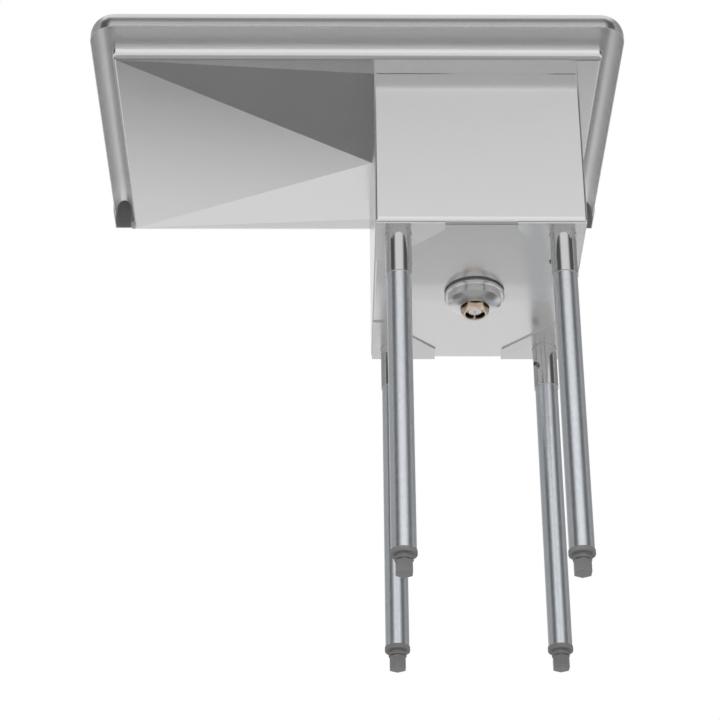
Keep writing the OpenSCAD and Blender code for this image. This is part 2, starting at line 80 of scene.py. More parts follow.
class Bench:
    """A node tree that is being built."""

    def __init__(self, tree):
        self.tree = tree
        tree.nodes.clear()

    def node(self, kind, settings=None, inputs=None):
        """A node of a kind, with its settings made first and then its inputs linked or filled."""
        made = self.tree.nodes.new(kind)
        for name, value in (settings or {}).items():
            if name == "stops":
                self.set_stops(made.color_ramp, value)
            else:
                setattr(made, name, value)
        for name, value in (inputs or {}).items():
            if isinstance(name, int):
                socket = made.inputs[name]
            else:
                socket = next(s for s in made.inputs if s.enabled and s.name == name)
            if isinstance(value, Wire):
                self.tree.links.new(value.socket, socket)
            else:
                socket.default_value = value
        shown = [s for s in made.outputs if s.enabled]
        return Wire(self, shown[0]) if shown else made

    def set_stops(self, ramp, stops):
        while len(ramp.elements) < len(stops):
            ramp.elements.new(1.0)
        for element, (place, colour) in zip(ramp.elements, stops):
            element.position = place
            element.color = colour

    def maths(self, operation, first, second=0.0):
        return self.node("ShaderNodeMath", {"operation": operation}, {0: first, 1: second})

    def vector(self, operation, first, second=(0.0, 0.0, 0.0)):
        return self.node("ShaderNodeVectorMath", {"operation": operation}, {0: first, 1: second})

    def blend(self, share, first, second):
        """A colour between two colours."""
        return self.node("ShaderNodeMix", {"data_type": "RGBA"}, {"Factor": share, "A": first, "B": second})

    def fade(self, value, start, end):
        """0 at start and 1 at end, with soft ends."""
        return self.node("ShaderNodeMapRange", {"interpolation_type": "SMOOTHSTEP"},
                         {"Value": value, "From Min": start, "From Max": end})

    def place(self, centre=(0.0, 0.0, 0.0)):
        """The object's own coordinates, in metres, measured from a centre."""
        spot = self.node("ShaderNodeTexCoord")["Object"]
        back = tuple(-c for c in centre)
        return self.node("ShaderNodeMapping", {"vector_type": "POINT"}, {"Vector": spot, "Location": back})

    def stretched(self, place, per_metre):
        return self.vector("MULTIPLY", place, per_metre)

    def noise(self, place, scale=1.0, detail=2.0, roughness=0.5):
        return self.node("ShaderNodeTexNoise", {"noise_dimensions": "3D"},
                         {"Vector": place, "Scale": scale, "Detail": detail, "Roughness": roughness})

    def parts(self, place):
        """The X, Y and Z of a place."""
        return self.node("ShaderNodeSeparateXYZ", {}, {"Vector": place})

    def bump(self, height, depth):
        return self.node("ShaderNodeBump", {}, {"Height": height, "Distance": depth})

    def dished(self, height, depth, normal):
        """A normal that is also tilted by a large form, which rises as height falls."""
        return self.node("ShaderNodeBump", {"invert": True},
                         {"Height": height, "Distance": depth, "Normal": normal})


def grey(level, warmth=0.0):
    """A neutral colour, a little warmer or cooler."""
    return (level * (1 + warmth), level, level * (1 - warmth), 1.0)


def new_bench(name):
    """A new material and its empty node tree."""
    material = bpy.data.materials.new(name)
    material.use_nodes = True
    return material, Bench(material.node_tree)


def finish_surface(bench, colour, roughness, normal, constants=None):
    """The surface shader, with constants on its own sockets, and the material's output."""
    inputs = {"Base Color": colour, "Roughness": roughness, "Normal": normal}
    inputs.update(constants or {})
    surface = bench.node("ShaderNodeBsdfPrincipled", {}, inputs)
    bench.node("ShaderNodeOutputMaterial", {}, {"Surface": surface})


def finish_metal(bench, colour, roughness, normal):
    """The surface shader of bare metal."""
    finish_surface(bench, colour, roughness, normal, {"Metallic": 1.0})


# Finishes

STEEL_LEVEL = 0.62
SATIN_ROUGHNESS = 0.2
GRAIN_LENGTH = 40 * MM
GRAIN_WIDTH = 0.35 * MM
GRAIN_DEPTH = 0.0025 * MM
# How much wider the coarse grain is, and the wipe marks along and across the grain, per metre
COARSE_GRAIN = 8
WIPES_ALONG = 3.0
WIPES_ACROSS = 12.0
# The fall of the bowl's bottom to its drain, and how softly it turns there
BOTTOM_FALL = 0.03
CREASE_SOFTNESS = 25 * MM
# How much the drainboard's fall changes along Y, in radians per metre, and where it is as modelled
BOARD_CAMBER = 0.13
BOARD_REST = 0.05


def satin_sheet(name, grain_axis, roughness=SATIN_ROUGHNESS, level=STEEL_LEVEL, crease=None, camber=None):
    """Stainless sheet with a fine brushed grain along one axis, faint clouds and wipe marks.

    A crease is a place in Y to which the sheet falls a little from both sides. A camber is the place in
    Y where a slightly bowed sheet lies as it is modelled.
    """
    material, bench = new_bench(name)
    place = bench.place()
    along = [1 / GRAIN_WIDTH] * 3
    along["XYZ".index(grain_axis)] = 1 / GRAIN_LENGTH
    grain = bench.noise(bench.stretched(place, along), detail=3.0, roughness=0.6)
    lines = bench.noise(bench.stretched(place, [side / COARSE_GRAIN for side in along]), detail=2.0)
    clouds = bench.noise(place, scale=9.0, detail=3.0)
    wipes = [WIPES_ALONG if axis == grain_axis else WIPES_ACROSS for axis in "XYZ"]
    smears = bench.noise(bench.stretched(place, wipes), detail=2.0)
    shade = 0.35 * grain + 0.25 * lines + 0.4 * clouds
    colour = bench.blend(shade, grey(level * 0.94), grey(level * 1.06))
    rough = roughness - 0.045 + 0.05 * grain + 0.04 * clouds + 0.03 * smears
    normal = bench.bump(0.7 * grain + 0.3 * lines, GRAIN_DEPTH)
    if crease is not None:
        span = bench.maths("ABSOLUTE", bench.parts(place)["Y"] - crease)
        soft = bench.node("ShaderNodeMath", {"operation": "SMOOTH_MAX"},
                          {0: span, 1: CREASE_SOFTNESS, 2: CREASE_SOFTNESS})
        normal = bench.dished(soft, BOTTOM_FALL, normal)
    if camber is not None:
        span = bench.parts(place)["Y"] - camber
        normal = bench.dished(0.5 * span * span, BOARD_CAMBER, normal)
    finish_metal(bench, colour, rough, normal)
    return material


def corner_sheet(name, centre):
    """The rim's turned corner: the polishing grain runs round its centre."""
    material, bench = new_bench(name)
    place = bench.place(centre)
    flat = bench.vector("MULTIPLY", place, (1.0, 1.0, 0.0))
    radius = bench.vector("LENGTH", flat)["Value"]
    ring = bench.node("ShaderNodeCombineXYZ", {}, {"X": radius, "Y": bench.parts(place)["Z"]})
    grain = bench.noise(bench.stretched(ring, [1 / GRAIN_WIDTH] * 3), detail=3.0, roughness=0.6)
    clouds = bench.noise(place, scale=25.0, detail=3.0)
    shade = 0.4 * grain + 0.6 * clouds
    colour = bench.blend(shade, grey(STEEL_LEVEL * 0.94), grey(STEEL_LEVEL * 1.06))
    rough = SATIN_ROUGHNESS - 0.04 + 0.04 * grain + 0.04 * clouds
    finish_metal(bench, colour, rough, bench.bump(grain, GRAIN_DEPTH))
    return material


def plate_steel():
    """Cut plate with mill clouding and a ground face."""
    material, bench = new_bench("gusset_plate_steel")
    place = bench.place()
    clouds = bench.noise(place, scale=35.0, detail=4.0)
    grit = bench.noise(place, scale=900.0, detail=2.0)
    colour = bench.blend(clouds, grey(0.53), grey(0.63))
    finish_metal(bench, colour, 0.17 + 0.07 * clouds, bench.bump(grit, 0.003 * MM))
    return material


def turned_marks(bench, place, width, wobble=0.15):
    """Fine lines that run round the Z axis: they change with height and with radius."""
    flat = bench.vector("MULTIPLY", place, (1.0, 1.0, 0.0))
    radius = bench.vector("LENGTH", flat)["Value"]
    drift = wobble * width * bench.noise(place, scale=60.0)
    height = bench.parts(place)["Z"] + drift
    ring = bench.node("ShaderNodeCombineXYZ", {}, {"X": radius + drift, "Y": height})
    return bench.noise(bench.stretched(ring, [1 / width] * 3), detail=3.0, roughness=0.6)


def tube_steel(name, centre, level, roughness):
    """Polished tube whose polishing lines run round it."""
    material, bench = new_bench(name)
    place = bench.place(centre)
    marks = turned_marks(bench, place, 0.3 * MM)
    clouds = bench.noise(place, scale=40.0, detail=2.0)
    colour = bench.blend(0.5 * marks + 0.5 * clouds, grey(level * 0.95), grey(level * 1.05))
    rough = roughness - 0.03 + 0.03 * marks + 0.03 * clouds
    finish_metal(bench, colour, rough, bench.bump(marks, 0.0015 * MM))
    return material


def turned_steel(name, centre, level, roughness):
    """Turned and pressed steel of the drain, with rings round its axis."""
    material, bench = new_bench(name)
    place = bench.place(centre)
    marks = turned_marks(bench, place, 0.5 * MM)
    clouds = bench.noise(place, scale=45.0, detail=3.0)
    colour = bench.blend(0.5 * marks + 0.5 * clouds, grey(level * 0.93), grey(level * 1.07))
    rough = roughness - 0.05 + 0.06 * marks + 0.05 * clouds
    finish_metal(bench, colour, rough, bench.bump(marks, 0.004 * MM))
    return material


def galvanised_steel():
    """Zinc-coated tube: small spangles, each with its own shade, and a soft orange-peel skin."""
    material, bench = new_bench("galvanised_tube")
    place = bench.place()
    squat = bench.stretched(place, (1.0, 1.0, 0.6))
    spangle = bench.node("ShaderNodeTexVoronoi", {"feature": "F1"}, {"Vector": squat, "Scale": 260.0})
    tone = bench.node("ShaderNodeSeparateColor", {}, {"Color": spangle["Color"]})
    skin = bench.noise(place, scale=420.0, detail=2.0)
    clouds = bench.noise(bench.stretched(place, (25.0, 25.0, 6.0)), detail=3.0)
    shade = 0.35 * tone["Red"] + 0.25 * skin + 0.4 * clouds
    colour = bench.blend(shade, (0.60, 0.63, 0.66, 1.0), (0.72, 0.75, 0.78, 1.0))
    rough = 0.25 + 0.07 * tone["Green"] + 0.07 * clouds
    finish_metal(bench, colour, rough, bench.bump(0.6 * skin + 0.4 * tone["Blue"], 0.006 * MM))
    return material


LIGHTER_BAND_HEIGHT = 8 * MM


def moulded_plastic():
    """Grey moulded nylon with a fine eroded texture, lighter in patches within a band just above the floor.
    """
    material, bench = new_bench("moulded_grey_plastic")
    place = bench.place()
    texture = bench.noise(place, scale=2600.0, detail=2.0)
    clouds = bench.noise(place, scale=60.0, detail=3.0)
    # Lighter grey in noise patches within 8 mm of the floor, most at the floor itself.
    near_floor = bench.fade(bench.parts(place)["Z"], LIGHTER_BAND_HEIGHT, 0.0)
    lighter_patches = near_floor * bench.noise(place, scale=400.0, detail=4.0)
    base = bench.blend(clouds, (0.202, 0.201, 0.203, 1.0), (0.240, 0.239, 0.242, 1.0))
    colour = bench.blend(0.5 * lighter_patches, base, (0.31, 0.31, 0.315, 1.0))
    rough = 0.42 + 0.1 * texture + 0.06 * clouds
    finish_surface(bench, colour, rough, bench.bump(texture, 0.02 * MM), {"Specular IOR Level": 0.5})
    return material


def slip_nut_brass(centre):
    """Brass with a coppery cast skin, turned on its lip."""
    material, bench = new_bench("slip_nut_brass")
    place = bench.place(centre)
    marks = turned_marks(bench, place, 0.6 * MM)
    patches = bench.noise(place, scale=120.0, detail=4.0)
    skin = bench.fade(patches, 0.35, 0.7)
    colour = bench.blend(skin, (0.60, 0.45, 0.36, 1.0), (0.72, 0.60, 0.46, 1.0))
    rough = 0.22 + 0.1 * patches + 0.05 * marks
    finish_metal(bench, colour, rough, bench.bump(0.5 * marks + 0.5 * patches, 0.008 * MM))
    return material


def rubber(name, dark, light):
    """Matt rubber with a little dust."""
    material, bench = new_bench(name)
    place = bench.place()
    dust = bench.noise(place, scale=500.0, detail=3.0)
    colour = bench.blend(dust, grey(dark), grey(light))
    finish_surface(bench, colour, 0.55 + 0.15 * dust, bench.bump(dust, 0.02 * MM))
    return material


def fibre_board():
    """Pressed fibre washer: short matted fibres."""
    material, bench = new_bench("pressed_fibre")
    place = bench.place()
    fibres = bench.noise(bench.stretched(place, (1500.0, 400.0, 900.0)), detail=4.0)
    colour = bench.blend(fibres, (0.16, 0.10, 0.055, 1.0), (0.34, 0.24, 0.14, 1.0))
    finish_surface(bench, colour, 0.8, bench.bump(fibres, 0.05 * MM))
    return material


def blackened_screw():
    """Blackened steel with worn patches."""
    material, bench = new_bench("set_screw_steel")
    place = bench.place()
    patches = bench.noise(place, scale=300.0, detail=3.0)
    colour = bench.blend(patches, grey(0.16, -0.03), grey(0.30, -0.02))
    finish_metal(bench, colour, 0.3 + 0.15 * patches, bench.bump(patches, 0.01 * MM))
    return material


def weld_metal():
    """Brushed weld: ripples and a trace of heat tint."""
    material, bench = new_bench("weld_bead_steel")
    place = bench.place()
    ripple = bench.noise(place, scale=900.0, detail=3.0)
    tint = bench.noise(place, scale=150.0, detail=2.0)
    share = bench.fade(tint, 0.35, 0.65)
    colour = bench.blend(share, (0.58, 0.575, 0.565, 1.0), (0.52, 0.50, 0.47, 1.0))
    finish_metal(bench, colour, 0.26 + 0.12 * ripple, bench.bump(ripple, 0.02 * MM))
    return material


def seam_metal():
    """A ground seam that has kept some of its heat tint."""
    material, bench = new_bench("ground_seam_steel")
    place = bench.place()
    grit = bench.noise(place, scale=700.0, detail=3.0)
    clouds = bench.noise(bench.stretched(place, (14.0, 14.0, 40.0)), detail=2.0)
    colour = bench.blend(clouds, grey(0.2), grey(0.32))
    finish_metal(bench, colour, 0.3 + 0.15 * grit, bench.bump(grit, 0.01 * MM))
    return material


def dress(names, material):
    """Puts a material in the slots of nodes."""
    for name in names:
        for slot in NODES[name].material_slots:
            slot.material = material


def axis_of(name):
    """The middle of a node, as the centre of what was turned round it."""
    low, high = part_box(name)
    return Vector(((low.x + high.x) / 2, (low.y + high.y) / 2, 0.0))


def dress_nodes():
    """Dresses every node, and gives back the plastic, which the threads share."""
    wide_grain = satin_sheet("satin_sheet_wide", "X")
    deep_grain = satin_sheet("satin_sheet_deep", "Y")
    dress(["front_ledge", "back_ledge", "front_rim", "backsplash"], wide_grain)
    dress(["drainboard"], satin_sheet("satin_sheet_board", "X", camber=BOARD_REST))
    drain = axis_of("drain_body")
    dress(["bowl_wrap"], satin_sheet("satin_sheet_bowl", "X", crease=drain.y))
    dress(["bowl_left_wall", "bowl_right_wall", "right_ledge", "left_rim", "right_rim"], deep_grain)
    dress(["left_splash_end", "right_splash_end"],
          satin_sheet("satin_sheet_ends", "Z", roughness=0.42, level=0.66))
    for side in ("left", "right"):
        low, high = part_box(side + "_rim_corner")
        centre = (high.x if side == "left" else low.x, high.y, 0.0)
        dress([side + "_rim_corner"], corner_sheet("satin_corner_" + side, centre))
    dress([place + "_gusset" for place in LEG_PLACES], plate_steel())
    for place in LEG_PLACES:
        centre = axis_of(place + "_leg")
        dress([place + "_socket"], tube_steel("polished_socket_" + place, centre, 0.54, 0.14))
    dress([place + "_leg" for place in LEG_PLACES], galvanised_steel())
    plastic = moulded_plastic()
    dress([place + part for place in LEG_PLACES for part in ("_insert", "_foot")], plastic)
    dress(["socket_set_screws"], blackened_screw())
    dress(["drain_body", "drain_locknut"], turned_steel("turned_drain_steel", drain, 0.58, 0.2))
    dress(["strainer_basket", "basket_post", "basket_knob"], turned_steel("basket_steel", drain, 0.64, 0.16))
    dress(["slip_nut"], slip_nut_brass(drain))
    dress(["drain_gasket"], rubber("grey_rubber", 0.22, 0.32))
    dress(["basket_seal"], rubber("black_rubber", 0.012, 0.035))
    dress(["drain_ring"], fibre_board())
    return plastic


# Forms that follow the photograph more closely than the solids that they stand for

SHARP_ANGLE = math.radians(30)


def closed_mesh(name, rings, capped=True):
    """A solid of rings of equal length, each joined to the next, with caps or with its ends joined."""
    count = len(rings[0])
    points = [point for ring in rings for point in ring]
    faces = []
    for i in range(len(rings) - 1 if capped else len(rings)):
        here = i * count
        there = (i + 1) % len(rings) * count
        for j in range(count):
            k = (j + 1) % count
            faces.append((here + j, here + k, there + k, there + j))
    if capped:
        faces += [tuple(range(count)), tuple(range(len(points) - count, len(points)))]
    mesh = bpy.data.meshes.new(name)
    mesh.from_pydata(points, [], faces)
    work = bmesh.new()
    work.from_mesh(mesh)
    bmesh.ops.recalc_face_normals(work, faces=work.faces)
    work.to_mesh(mesh)
    work.free()
    mesh.polygons.foreach_set("use_smooth", [True] * len(mesh.polygons))
    mesh.set_sharp_from_angle(angle=SHARP_ANGLE)
    piece = bpy.data.objects.new(name, mesh)
    bpy.context.scene.collection.objects.link(piece)
    return piece


def turns(sides):
    """The angles of a full turn."""
    return [2 * math.pi * i / sides for i in range(sides)]


def round_ring(centre, radius, height, sides):
    """A level ring of points round a centre."""
    return [(centre.x + radius * math.cos(a), centre.y + radius * math.sin(a), height) for a in turns(sides)]


def lathe_mesh(name, centre, outline, sides):
    """A solid turned round a vertical axis, from a closed outline of radii and heights."""
    columns = [round_ring(centre, r, z, sides) for r, z in outline]
    return closed_mesh(name, [list(ring) for ring in zip(*columns)], capped=False)


def stand_for(piece, node, body):
    """Puts a form in the place of a node, with the node's material."""
    piece.data.materials.append(NODES[node].material_slots[0].material)
    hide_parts(node)
    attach(piece, body)


# The rims

SHEET = 1.5 * MM
ARC_STEPS = 24
RIM_TOP = 74.5 * MM
ROLL_RISE = 28 * MM
LIP_DROP = 9 * MM
# Each section of the rim: the bend's radius, where the roll starts and how far out it goes
FRONT_SECTION = (14 * MM, 14 * MM, 47 * MM)
SIDE_SECTION = (5 * MM, 12.5 * MM, 46 * MM)
PANEL_SECTION = (14 * MM, 14 * MM, 46 * MM)
PANEL_BLEND = 8 * MM


def rim_section(bend, start, reach):
    """A section as s, outwards from the bend line, and h, up from the deck's underside."""
    spring = RIM_TOP - ROLL_RISE
    middle = (start + reach - SHEET) / 2
    under = middle - start
    over = reach - middle
    inner = bend - SHEET
    rise = ROLL_RISE - SHEET
    quarter = [math.pi / 2 * i / ARC_STEPS for i in range(ARC_STEPS + 1)]
    half = [2 * t for t in quarter]
    points = [(bend * math.sin(t), bend - bend * math.cos(t)) for t in quarter]
    points += [(middle - under * math.cos(t), spring + rise * math.sin(t)) for t in half]
    points += [(reach - SHEET, spring - LIP_DROP), (reach, spring - LIP_DROP)]
    points += [(middle + over * math.cos(t), spring + ROLL_RISE * math.sin(t)) for t in half]
    points += [(inner * math.sin(t), bend - inner * math.cos(t)) for t in reversed(quarter)]
    return points


def rim_ring(x, y, angle, section, rear_step=0.0):
    """A section stood on the bend line at a point, outwards along an angle; its rear end can be mitred."""
    bend = section[0]
    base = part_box("right_ledge")[0].z
    ring = []
    for s, h in rim_section(*section):
        step = min(s / bend, 1.0) * rear_step
        ring.append((x + s * math.cos(angle), y + s * math.sin(angle) + step, base + h))
    return ring


def line_channel(piece, mill_painted_light, rings):
    """Gives the faces inside the channel, which no belt reaches, the sheet's rougher mill finish, painted a
    lighter grey than the belted sheet: painted light in the channel's shade.
    """
    piece.data.materials.append(mill_painted_light)
    outline = len(rings[0])
    last = (len(rings) - 1) * outline
    inside = range(ARC_STEPS, 2 * ARC_STEPS + 2)
    for face in piece.data.polygons:
        if face.index < last and face.index % outline in inside:
            face.material_index = 1


def rim_form(name, node, rings, mill_painted_light):
    """A rim of sections along its path, in the place of a node."""
    piece = closed_mesh(name, rings)
    stand_for(piece, node, "sink")
    line_channel(piece, mill_painted_light, rings)


def rim_forms():
    """The three rims and their two corners, with a taller roll and a longer lip than the solids have."""
    # The channel's sheet is rougher, as mill finish is, and painted lighter (0.82 against 0.62): painted
    # light where the channel lies in shade.
    mill_painted_light = satin_sheet("mill_sheet_painted_light", "X", roughness=0.36, level=0.82)
    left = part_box("drainboard")[0].x
    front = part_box("drainboard")[0].y
    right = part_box("right_ledge")[1].x
    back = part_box("right_ledge")[1].y
    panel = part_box("left_rim")[1].y
    for node, x, start in (("left_rim", left, math.pi), ("right_rim", right, 0.0)):
        rings = [rim_ring(x, front, start, SIDE_SECTION),
                 rim_ring(x, back - PANEL_BLEND, start, SIDE_SECTION),
                 rim_ring(x, back, start, PANEL_SECTION, panel - back)]
        rim_form(node + "_form", node, rings, mill_painted_light)
        swing = math.pi / 2 if node == "left_rim" else -math.pi / 2
        rings = []
        for i in range(ARC_STEPS + 1):
            share = i / ARC_STEPS
            section = [a + (b - a) * share for a, b in zip(SIDE_SECTION, FRONT_SECTION)]
            rings.append(rim_ring(x, front, start + swing * share, section))
        rim_form(node + "_corner_form", node + "_corner", rings, mill_painted_light)
    rings = [rim_ring(x, front, -math.pi / 2, FRONT_SECTION) for x in (left, right)]
    rim_form("front_rim_form", "front_rim", rings, mill_painted_light)


# The inserts and the feet

THREAD_PITCH = 2.31 * MM
THREAD_HEIGHT = 0.8 * MM
STEM_RADIUS = 7.95 * MM
CORE_RADIUS = STEM_RADIUS - THREAD_HEIGHT
COLLAR_RADIUS = 21.75 * MM
COLLAR_HEIGHT = 8.5 * MM
COLLAR_ROUND = 1.8 * MM
NECK_RADIUS = 15.4 * MM
PLUG_RADIUS = 18.5 * MM
BORE_RADIUS = 8.05 * MM
FOOT_FLATS = 27 * MM
FOOT_TOP = 23.5 * MM
FOOT_CHAMFER = 1.2 * MM
SEAT_GAP = 0.3 * MM
ROUND_STEPS = 6
INSERT_SIDES = 48
FOOT_SIDES = 24


def insert_outline(tube_end, top):
    """Radii and heights of an insert: a neck, a thin wide collar under the tube and a plug in it."""
    collar = tube_end - COLLAR_HEIGHT
    edge = COLLAR_RADIUS - COLLAR_ROUND
    seat = FOOT_TOP + SEAT_GAP
    outline = [(BORE_RADIUS, seat), (NECK_RADIUS, seat), (NECK_RADIUS, collar)]
    for i in range(ROUND_STEPS + 1):
        t = math.pi / 2 * i / ROUND_STEPS
        outline.append((edge + COLLAR_ROUND * math.sin(t), collar + COLLAR_ROUND * (1 - math.cos(t))))
    outline += [(COLLAR_RADIUS, tube_end - SEAT_GAP), (PLUG_RADIUS, tube_end - SEAT_GAP)]
    outline += [(PLUG_RADIUS, top), (BORE_RADIUS, top)]
    return outline


def hexagon_ring(centre, apothem, height):
    """A hexagon with a corner to the front, as a ring of FOOT_SIDES points."""
    ring = []
    for a in turns(FOOT_SIDES):
        off = (a + math.pi / 6) % (math.pi / 3) - math.pi / 6
        r = apothem / math.cos(off)
        ring.append((centre.x + r * math.cos(a), centre.y + r * math.sin(a), height))
    return ring


def leveller_forms():
    """Each insert with its thin collar, and each foot with its hexagon turned corner to the front."""
    for place in LEG_PLACES:
        centre = axis_of(place + "_leg")
        tube_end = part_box(place + "_leg")[0].z
        outline = insert_outline(tube_end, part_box(place + "_insert")[1].z)
        form = lathe_mesh(place + "_insert_form", centre, outline, INSERT_SIDES)
        stand_for(form, place + "_insert", "sink")
        half = FOOT_FLATS / 2
        rings = [hexagon_ring(centre, half - FOOT_CHAMFER, 0.0),
                 hexagon_ring(centre, half, FOOT_CHAMFER),
                 hexagon_ring(centre, half, FOOT_TOP - FOOT_CHAMFER / 2),
                 hexagon_ring(centre, half - FOOT_CHAMFER, FOOT_TOP),
                 round_ring(centre, CORE_RADIUS, FOOT_TOP, FOOT_SIDES),
                 round_ring(centre, CORE_RADIUS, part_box(place + "_foot")[1].z, FOOT_SIDES)]
        form = closed_mesh(place + "_foot_form", rings)
        stand_for(form, place + "_foot", place + "_leveller")


# The drain's cone and the bowl's seam

CONE_DEPTH = 10 * MM
CONE_WALL = 1.2 * MM
CONE_TOP_RADIUS = 46.4 * MM
CONE_CLEARANCE = 0.4 * MM
CONE_SIDES = 96


def drain_cone():
    """The deep cone between the drain's cup and its slip nut. The solids' cone is shallower."""
    centre = axis_of("drain_body")
    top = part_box("drain_locknut")[0].z
    nut_low, nut_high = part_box("slip_nut")
    nut_r = (nut_high.x - nut_low.x) / 2 + CONE_CLEARANCE
    end = top - CONE_DEPTH
    outline = [(CONE_TOP_RADIUS, top), (nut_r + CONE_WALL, end), (nut_r, end), (nut_r, end + CONE_WALL),
               (CONE_TOP_RADIUS - 2 * CONE_WALL, top)]
    cone = lathe_mesh("drain_cone", centre, outline, CONE_SIDES)
    cone.data.materials.append(NODES["drain_body"].material_slots[0].material)
    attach(cone, "sink")


# The seam's half-width in mm at shares of the bowl's width: it is ground away in the middle
SEAM_SHAPE = ((0.0, 0.6), (0.28, 0.55), (0.4, 0.05), (0.84, 0.05), (0.9, 0.55), (1.0, 0.6))
SEAM_DROP = 0.5 * MM
SEAM_BULGE = 0.4
SEAM_SIDES = 12


def bowl_seam():
    """The ground seam under the front ledge, across the bowl's front wall."""
    low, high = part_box("bowl_wrap")
    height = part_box("front_ledge")[0].z - SEAM_DROP
    rings = []
    for share, width in SEAM_SHAPE:
        x = low.x + (high.x - low.x) * share
        r = width * MM
        rings.append([(x, low.y + SEAM_BULGE * r * math.cos(a), height + r * math.sin(a))
                      for a in turns(SEAM_SIDES)])
    seam = closed_mesh("front_seam", rings)
    seam.data.materials.append(seam_metal())
    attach(seam, "sink")


# Pieces that repeat

class Recipe:
    """A Geometry Nodes tree with named sizes, which ends in real geometry with its material."""

    def __init__(self, name, sizes):
        self.tree = bpy.data.node_groups.new(name, "GeometryNodeTree")
        self.tree.interface.new_socket("Geometry", in_out="INPUT", socket_type="NodeSocketGeometry")
        self.tree.interface.new_socket("Geometry", in_out="OUTPUT", socket_type="NodeSocketGeometry")
        self.keys = {}
        for label, value in sizes.items():
            kind = "NodeSocketInt" if isinstance(value, int) else "NodeSocketFloat"
            socket = self.tree.interface.new_socket(label, in_out="INPUT", socket_type=kind)
            socket.default_value = value
            self.keys[label] = socket.identifier
        self.sizes = sizes
        self.entry = self.tree.nodes.new("NodeGroupInput")

    def node(self, kind, settings=None, inputs=None):
        """A node's first output, with the node's settings made and its inputs linked or filled."""
        made = self.tree.nodes.new(kind)
        for name, value in (settings or {}).items():
            setattr(made, name, value)
        for name, value in (inputs or {}).items():
            socket = next(s for s in made.inputs if s.enabled and s.name == name)
            if isinstance(value, bpy.types.NodeSocket):
                self.tree.links.new(value, socket)
            else:
                socket.default_value = value
        return next(s for s in made.outputs if s.enabled)

    def size(self, label):
        """The recipe's own input of this name."""
        return self.entry.outputs[label]

    def close(self, geometry, material):
        """Ends the tree with real geometry in its material."""
        solid = self.node("GeometryNodeRealizeInstances", {}, {"Geometry": geometry})
        painted = self.node("GeometryNodeSetMaterial", {}, {"Geometry": solid, "Material": material})
        way_out = self.tree.nodes.new("NodeGroupOutput")
        self.tree.links.new(painted, way_out.inputs["Geometry"])

    def make(self, name, points, material):
        """A plain mesh object, worked out on points, which are where the recipe's pieces stand."""
        seedling = bpy.data.meshes.new(name + "_points")
        seedling.from_pydata([tuple(point) for point in points], [], [])
        source = bpy.data.objects.new(name + "_source", seedling)
        bpy.context.scene.collection.objects.link(source)
        modifier = source.modifiers.new("recipe", "NODES")
        modifier.node_group = self.tree
        for label, value in self.sizes.items():
            modifier[self.keys[label]] = value
        graph = bpy.context.evaluated_depsgraph_get()
        mesh = bpy.data.meshes.new_from_object(source.evaluated_get(graph))
        mesh.name = name
        piece = bpy.data.objects.new(name, mesh)
        bpy.context.scene.collection.objects.link(piece)
        if not mesh.materials:
            mesh.materials.append(material)
        source.modifiers.clear()
        bpy.data.objects.remove(source)
        return piece


BEAD_RADIUS = 1.1 * MM
BEAD_STEP = 0.9 * BEAD_RADIUS
BEAD_SEED = 7


def weld_rings():
    """A ring of weld beads where each socket meets its gusset."""
    metal = weld_metal()
    low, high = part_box("front_left_socket")
    ring_r = (high.x - low.x) / 2
    count = round(2 * math.pi * ring_r / BEAD_STEP)
    recipe = Recipe("socket_weld", {"Beads": count, "Ring radius": ring_r, "Bead radius": BEAD_RADIUS,
                                    "Seed": BEAD_SEED})
    ring = recipe.node("GeometryNodeMeshCircle", {},
                       {"Vertices": recipe.size("Beads"), "Radius": recipe.size("Ring radius")})
    ball = recipe.node("GeometryNodeMeshIcoSphere", {},
                       {"Radius": recipe.size("Bead radius"), "Subdivisions": 2})
    size = recipe.node("FunctionNodeRandomValue", {"data_type": "FLOAT"},
                       {"Min": 0.85, "Max": 1.15, "Seed": recipe.size("Seed")})
    beads = recipe.node("GeometryNodeInstanceOnPoints", {},
                        {"Points": ring, "Instance": ball, "Scale": size})
    rings = recipe.node("GeometryNodeInstanceOnPoints", {},
                        {"Points": recipe.entry.outputs["Geometry"], "Instance": beads})
    smooth = recipe.node("GeometryNodeSetShadeSmooth", {}, {"Geometry": rings})
    recipe.close(smooth, metal)
    points = []
    for place in LEG_PLACES:
        centre = axis_of(place + "_socket")
        points.append((centre.x, centre.y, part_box(place + "_socket")[1].z))
    piece = recipe.make("socket_welds", points, metal)
    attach(piece, "sink")


def foot_threads(plastic):
    """A moulded thread on each foot's stem, from the hexagon to the stem's end."""
    stem_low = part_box("front_left_insert")[0].z
    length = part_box("front_left_foot")[1].z - stem_low - THREAD_PITCH
    recipe = Recipe("foot_thread", {"Turns": length / THREAD_PITCH, "Length": length,
                                    "Core radius": CORE_RADIUS, "Ridge": THREAD_HEIGHT})
    core = recipe.size("Core radius")
    spiral = recipe.node("GeometryNodeCurveSpiral", {},
                         {"Resolution": 20, "Rotations": recipe.size("Turns"), "Start Radius": core,
                          "End Radius": core, "Height": recipe.size("Length")})
    ridge = recipe.node("GeometryNodeCurvePrimitiveCircle", {"mode": "RADIUS"},
                        {"Resolution": 6, "Radius": recipe.size("Ridge")})
    swept = recipe.node("GeometryNodeCurveToMesh", {},
                        {"Curve": spiral, "Profile Curve": ridge, "Fill Caps": True})
    placed = recipe.node("GeometryNodeInstanceOnPoints", {},
                         {"Points": recipe.entry.outputs["Geometry"], "Instance": swept})
    recipe.close(placed, plastic)
    for place in LEG_PLACES:
        centre = axis_of(place + "_foot")
        piece = recipe.make(place + "_foot_thread", [(centre.x, centre.y, stem_low)], plastic)
        piece.data.polygons.foreach_set("use_smooth", [True] * len(piece.data.polygons))
        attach(piece, place + "_leveller")


# Studio

WHITE = (1.0, 1.0, 1.0, 1.0)
